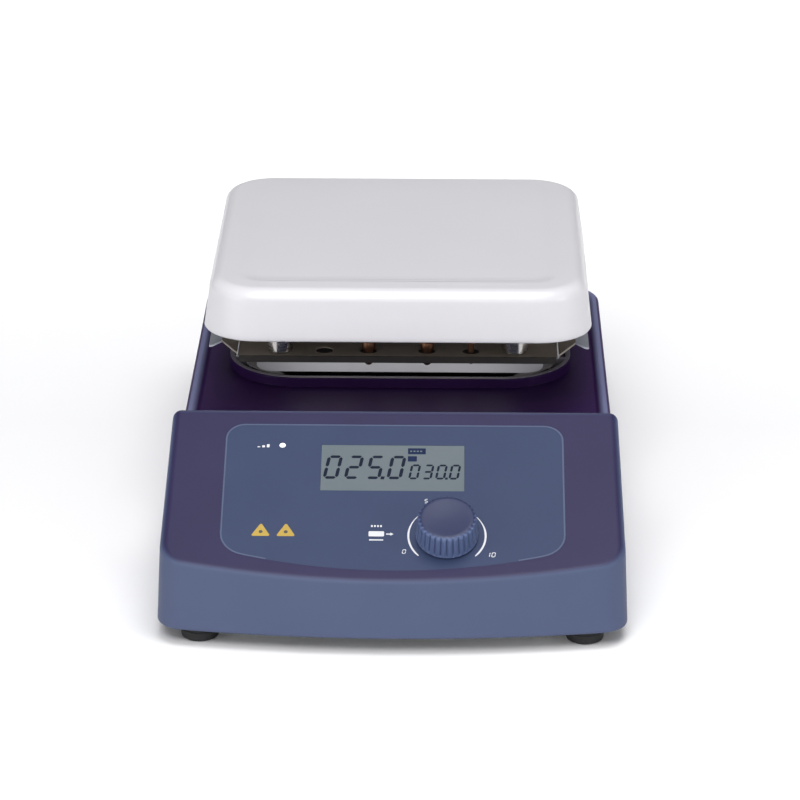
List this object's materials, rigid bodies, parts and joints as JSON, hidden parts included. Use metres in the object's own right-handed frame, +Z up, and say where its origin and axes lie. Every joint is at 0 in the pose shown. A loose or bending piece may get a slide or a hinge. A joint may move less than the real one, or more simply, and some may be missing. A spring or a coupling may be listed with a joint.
{
  "type": "magnetic stirrer",
  "caption": "Heated magnetic stirrer: square white plate on posts over a low cast housing with a sloping console, digital display and one push-and-turn knob.",
  "frame": {"origin": "on the bench, in the middle of the outline seen from above", "axes": "+Z up, +Y towards the rear, +X to the right of a person at the console, which faces -Y"},
  "size_m": [0.21, 0.3572, 0.118],
  "materials": {
    "housing_paint": "semi-gloss stoved paint, very dark purple-blue",
    "console_paint": "satin stoved paint, slate blue with a purple cast",
    "overlay_film": "fine-textured printed film, slate blue",
    "plate_enamel": "smooth white ceramic coating",
    "knob_plastic": "satin moulded plastic, slate blue",
    "display_glass": "grey-green liquid crystal under a clear window",
    "shield_steel": "dark heat-resistant finish",
    "tray_steel": "bright rolled sheet",
    "polished_steel": "polished turned steel",
    "zinc_steel": "zinc-plated steel",
    "copper": "bare copper",
    "element_sheath": "heat-darkened steel sheath",
    "mineral_fibre": "pressed mineral fibre",
    "aluminium": "machined and sheet aluminium",
    "magnet_nickel": "nickel-plated magnet",
    "rubber": "black rubber",
    "black_plastic": "black moulded plastic",
    "board_laminate": "green solder-masked laminate",
    "lens_white": "milky indicator lens"
  },
  "bodies": {
    "housing": {"rear_housing": "housing_paint", "console_shell": "console_paint", "bottom_cover": "zinc_steel", "panel_overlay": "overlay_film", "display_window": "display_glass", "display_module": "black_plastic", "heat_led": "lens_white", "control_board": "board_laminate", "encoder_body": "black_plastic", "encoder_nut": "zinc_steel", "hot_plate": "plate_enamel", "heating_element": "element_sheath", "heater_lead_left": "copper", "heater_lead_right": "copper", "sensor_lead": "copper", "clamp_plate": "aluminium", "insulation_pad": "mineral_fibre", "heat_shield": "shield_steel", "reflector_tray": "tray_steel", "motor_can": "zinc_steel", "motor_stator": "copper", "upper_bearing": "polished_steel", "motor_screw_left": "zinc_steel", "motor_screw_right": "zinc_steel", "power_board": "board_laminate", "heat_sink": "aluminium", "power_transformer": "black_plastic", "mains_inlet": "black_plastic", "switch_body": "black_plastic", "sensor_socket": "black_plastic", "foot_front_left": "rubber", "foot_screw_front_left": "zinc_steel", "post_front_left": "polished_steel", "post_screw_front_left": "zinc_steel", "shield_screw_front_left": "zinc_steel", "foot_front_right": "rubber", "foot_screw_front_right": "zinc_steel", "post_front_right": "polished_steel", "post_screw_front_right": "zinc_steel", "shield_screw_front_right": "zinc_steel", "foot_rear_left": "rubber", "foot_screw_rear_left": "zinc_steel", "post_rear_left": "polished_steel", "post_screw_rear_left": "zinc_steel", "shield_screw_rear_left": "zinc_steel", "foot_rear_right": "rubber", "foot_screw_rear_right": "zinc_steel", "post_rear_right": "polished_steel", "post_screw_rear_right": "zinc_steel", "shield_screw_rear_right": "zinc_steel"},
    "stirrer": {"drive_shaft": "polished_steel", "motor_rotor": "zinc_steel", "magnet_carrier": "aluminium", "stir_magnet_left": "magnet_nickel", "stir_magnet_right": "magnet_nickel"},
    "plunger": {"encoder_plunger": "black_plastic"},
    "knob": {"knob": "knob_plastic", "encoder_shaft": "aluminium"},
    "rocker": {"power_rocker": "black_plastic"},
    "fuse_drawer": {"fuse_drawer": "black_plastic"}
  },
  "joints": [
    {"name": "stir_spin", "type": "hinge", "parent": "housing", "child": "stirrer", "pos_m": [0, 0.06, 0.085], "axis": [0, 0, 1], "continuous": true},
    {"name": "knob_push", "type": "slide", "parent": "housing", "child": "plunger", "axis": [0, 0.4384, -0.8988], "range_m": [0, 0.0006], "stiffness_N_per_m": 3000, "springref_m": -0.0003},
    {"name": "knob_turn", "type": "hinge", "parent": "plunger", "child": "knob", "pos_m": [0.0242, -0.15046, 0.04574], "axis": [0, 0.4384, -0.8988], "continuous": true},
    {"name": "rocker_tip", "type": "hinge", "parent": "housing", "child": "rocker", "pos_m": [-0.012, 0.173, 0.0275], "axis": [-1, 0, 0], "range_deg": [0, 16]},
    {"name": "fuse_drawer_slide", "type": "slide", "parent": "housing", "child": "fuse_drawer", "axis": [0, 1, 0], "range_m": [0, 0.02]}
  ]
}
